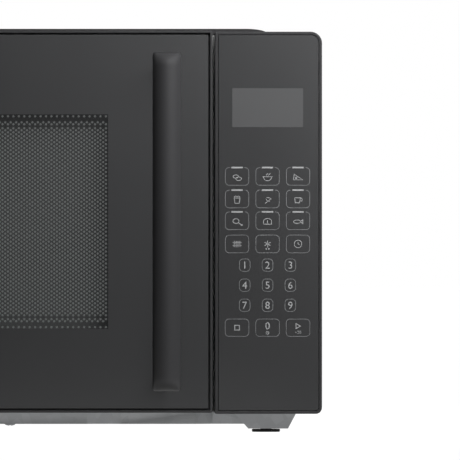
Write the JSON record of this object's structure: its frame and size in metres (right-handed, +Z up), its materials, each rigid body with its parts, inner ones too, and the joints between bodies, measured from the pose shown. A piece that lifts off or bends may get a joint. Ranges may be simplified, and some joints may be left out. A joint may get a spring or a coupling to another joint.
{
  "type": "microwave oven",
  "caption": "Countertop microwave oven with a left-hinged glass door, vertical bar handle, touch control panel, glass turntable and its working parts inside.",
  "frame": {"origin": "on the table, under the middle of the whole object", "axes": "+Z up, +X to the control panel, the door faces -Y"},
  "size_m": [0.44, 0.358, 0.2581],
  "materials": {
    "black_paint": "fine satin powder coat",
    "black_plastic": "moulded, satin with soft gloss",
    "black_glass": "flat tempered glass, black printed on its back",
    "clear_sheet": "thin clear film",
    "galvanised": "bare galvanised sheet, faint spangle",
    "steel": "plain pressed steel",
    "grey_enamel": "light grey enamel",
    "perforated_steel": "dark painted perforated sheet",
    "copper": "lacquered copper wire",
    "rubber": "matt moulded rubber",
    "clear_glass": "clear pressed glass",
    "white_plastic": "moulded, lightly glossy",
    "red_plastic": "small moulded button",
    "board": "printed circuit board",
    "mica": "pressed mica sheet",
    "aluminium": "plain formed aluminium",
    "ceramic": "glazed ceramic",
    "black_parts": "moulded component case"
  },
  "bodies": {
    "cabinet": {"outer_cover": "black_paint", "base_plate": "galvanised", "motor_access_cover": "galvanised", "foot_front_left": "rubber", "foot_front_right": "rubber", "foot_rear_left": "rubber", "foot_rear_right": "rubber", "front_plate": "grey_enamel", "cavity_liner": "grey_enamel", "waveguide_cover": "mica", "back_panel": "galvanised", "cord_gland": "rubber", "rear_spacer": "black_plastic", "hinge_upper": "steel", "hinge_lower": "steel", "latch_bracket": "white_plastic", "primary_switch": "black_parts", "secondary_switch": "black_parts", "monitor_switch": "black_parts", "control_frame": "black_plastic", "control_glass": "black_glass", "display_module": "black_parts", "control_board": "board", "waveguide": "galvanised", "magnetron": "aluminium", "magnetron_antenna": "ceramic", "thermal_cutout": "black_parts", "transformer_core": "steel", "transformer_winding": "copper", "hv_capacitor": "aluminium", "hv_diode": "black_parts", "filter_board": "board", "line_fuse": "ceramic", "fan_shroud": "white_plastic", "fan_motor": "steel", "lamp_socket": "ceramic", "cavity_lamp": "clear_glass", "turntable_motor": "steel"},
    "door": {"door_frame": "black_plastic", "door_glass": "black_glass", "door_panel": "grey_enamel", "mesh_screen": "perforated_steel", "inner_window": "clear_sheet", "choke_cover": "black_plastic", "handle": "black_plastic", "handle_screw_lower": "steel", "handle_screw_upper": "steel", "latch_spring": "steel"},
    "latch": {"latch_hooks": "white_plastic"},
    "fan": {"fan_blade": "white_plastic"},
    "coupler": {"drive_coupler": "white_plastic"},
    "tray": {"glass_tray": "clear_glass"},
    "ring": {"roller_ring": "white_plastic"},
    "roller_1": {"roller_1": "white_plastic"},
    "roller_2": {"roller_2": "white_plastic"},
    "roller_3": {"roller_3": "white_plastic"},
    "primary_button": {"primary_plunger": "red_plastic"},
    "secondary_button": {"secondary_plunger": "red_plastic"},
    "monitor_button": {"monitor_plunger": "red_plastic"}
  },
  "joints": [
    {"name": "door_hinge", "type": "hinge", "parent": "cabinet", "child": "door", "pos_m": [-0.212, -0.13, 0.1345], "axis": [0, 0, -1], "range_deg": [0, 100]},
    {"name": "latch_slide", "type": "slide", "parent": "door", "child": "latch", "axis": [0, 0, 1], "range_m": [0, 0.004], "stiffness_N_per_m": 400, "springref_m": -0.005, "deforming": ["latch_spring"]},
    {"name": "coupler_spin", "type": "hinge", "parent": "cabinet", "child": "coupler", "pos_m": [-0.05, 0.02255, 0.035], "axis": [0, 0, 1], "continuous": true},
    {"name": "tray_lift", "type": "slide", "parent": "coupler", "child": "tray", "axis": [0, 0, 1], "range_m": [0, 0.03]},
    {"name": "ring_spin", "type": "hinge", "parent": "cabinet", "child": "ring", "pos_m": [-0.05, 0.02255, 0.03865], "axis": [0, 0, 1], "continuous": true},
    {"name": "roller_1_spin", "type": "hinge", "parent": "ring", "child": "roller_1", "pos_m": [-0.05, 0.1074, 0.03865], "axis": [0, 1, 0], "continuous": true},
    {"name": "roller_2_spin", "type": "hinge", "parent": "ring", "child": "roller_2", "pos_m": [-0.12348, -0.01988, 0.03865], "axis": [-0.866, -0.5, 0], "continuous": true},
    {"name": "roller_3_spin", "type": "hinge", "parent": "ring", "child": "roller_3", "pos_m": [0.02348, -0.01988, 0.03865], "axis": [0.866, -0.5, 0], "continuous": true},
    {"name": "fan_spin", "type": "hinge", "parent": "cabinet", "child": "fan", "pos_m": [0.161, 0.144, 0.165], "axis": [0, 1, 0], "continuous": true},
    {"name": "primary_press", "type": "slide", "parent": "cabinet", "child": "primary_button", "axis": [0, 1, 0], "range_m": [0, 0.001], "stiffness_N_per_m": 1000, "springref_m": -0.001},
    {"name": "secondary_press", "type": "slide", "parent": "cabinet", "child": "secondary_button", "axis": [0, 1, 0], "range_m": [0, 0.001], "stiffness_N_per_m": 1000, "springref_m": -0.001},
    {"name": "monitor_press", "type": "slide", "parent": "cabinet", "child": "monitor_button", "axis": [0, 1, 0], "range_m": [0, 0.001], "stiffness_N_per_m": 1000, "springref_m": -0.001}
  ],
  "couplings": [
    {"joint": "ring_spin", "follows": "coupler_spin", "ratio": 0.5},
    {"joint": "roller_1_spin", "follows": "coupler_spin", "ratio": -4.991},
    {"joint": "roller_2_spin", "follows": "coupler_spin", "ratio": -4.991},
    {"joint": "roller_3_spin", "follows": "coupler_spin", "ratio": -4.991}
  ]
}
